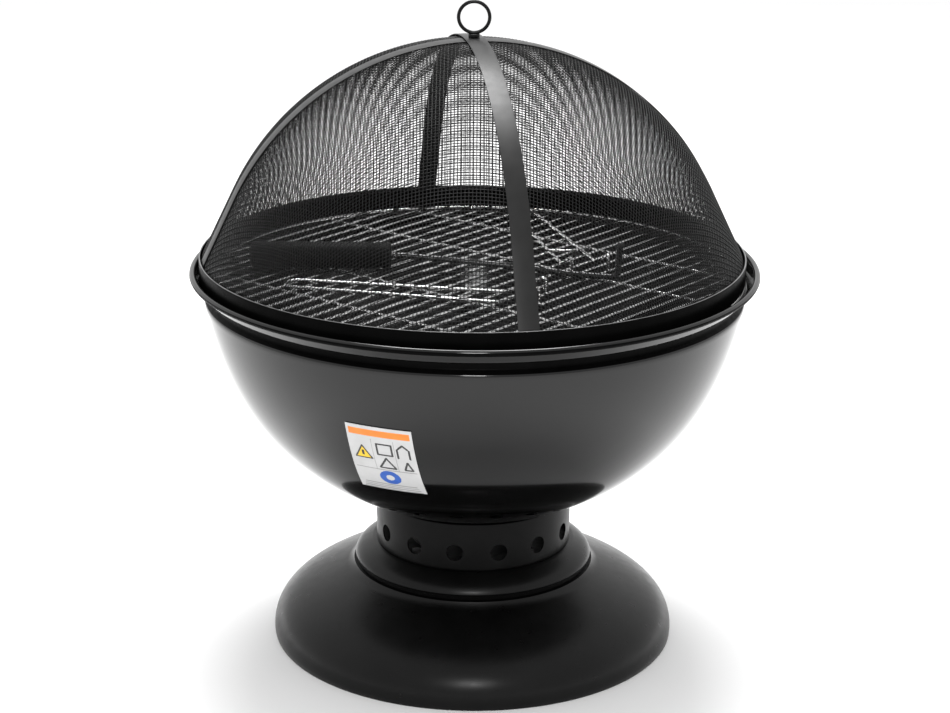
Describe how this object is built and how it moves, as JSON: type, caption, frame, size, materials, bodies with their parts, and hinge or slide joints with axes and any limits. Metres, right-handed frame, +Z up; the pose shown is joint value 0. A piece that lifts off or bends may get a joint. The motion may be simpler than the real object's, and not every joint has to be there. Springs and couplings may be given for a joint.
{
  "type": "fire pit with grate",
  "caption": "Round garden fire pit: pressed bowl on a vented pedestal, lift-out cooking grate, domed mesh spark guard with a ring, poker and wire grate lifters.",
  "frame": {"origin": "on the floor under the middle of the base", "axes": "+Z up along the bowl's axis, -Y towards the front, +X to the right seen from the front"},
  "size_m": [0.57, 0.57, 0.6592],
  "materials": {
    "base_paint": "satin",
    "bowl_enamel": "gloss",
    "fastener_steel": "zinc plated",
    "grate_chrome": "bright plated wire",
    "guard_paint": "semi-matt black",
    "mesh_wire": "black woven wire",
    "poker_steel": "black oxide",
    "grip_plastic": "matt moulded",
    "label_film": "printed film"
  },
  "bodies": {
    "root": {"base_bolt_1": "fastener_steel", "base_bolt_2": "fastener_steel", "base_bolt_3": "fastener_steel", "base_bolt_4": "fastener_steel", "base_nut_1": "fastener_steel", "base_nut_2": "fastener_steel", "base_nut_3": "fastener_steel", "base_nut_4": "fastener_steel", "base_skirt": "base_paint", "bowl": "bowl_enamel", "bowl_bolt_1": "fastener_steel", "bowl_bolt_2": "fastener_steel", "bowl_bolt_3": "fastener_steel", "bowl_bolt_4": "fastener_steel", "bowl_label": "label_film", "bowl_nut_1": "fastener_steel", "bowl_nut_2": "fastener_steel", "bowl_nut_3": "fastener_steel", "bowl_nut_4": "fastener_steel", "vent_collar": "base_paint"},
    "grate": {"cooking_grate": "grate_chrome"},
    "guard": {"crown_nut": "fastener_steel", "crown_washer": "fastener_steel", "eye_bolt": "guard_paint", "guard_inner_band": "guard_paint", "guard_mesh": "mesh_wire", "guard_outer_band": "guard_paint", "strap_front_back": "guard_paint", "strap_left_right": "guard_paint"},
    "poker": {"poker_grip": "grip_plastic", "poker_rod": "poker_steel"},
    "lifter_front": {"lifter_front_crosspiece": "grate_chrome", "lifter_front_loop": "grate_chrome"},
    "lifter_rear": {"lifter_rear_crosspiece": "grate_chrome", "lifter_rear_loop": "grate_chrome"}
  },
  "joints": [
    {"name": "grate_lift", "type": "slide", "parent": "root", "child": "grate", "axis": [0, 0, 1], "range_m": [0, 0.15]},
    {"name": "guard_lift", "type": "slide", "parent": "grate", "child": "guard", "axis": [0, 0, 1], "range_m": [0, 0.3]},
    {"name": "poker_lift", "type": "slide", "parent": "grate", "child": "poker", "axis": [0, 0, 1], "range_m": [0, 0.03]},
    {"name": "lifter_front_lift", "type": "slide", "parent": "grate", "child": "lifter_front", "axis": [0, 0, 1], "range_m": [0, 0.03]},
    {"name": "lifter_rear_lift", "type": "slide", "parent": "grate", "child": "lifter_rear", "axis": [0, 0, 1], "range_m": [0, 0.03]}
  ]
}
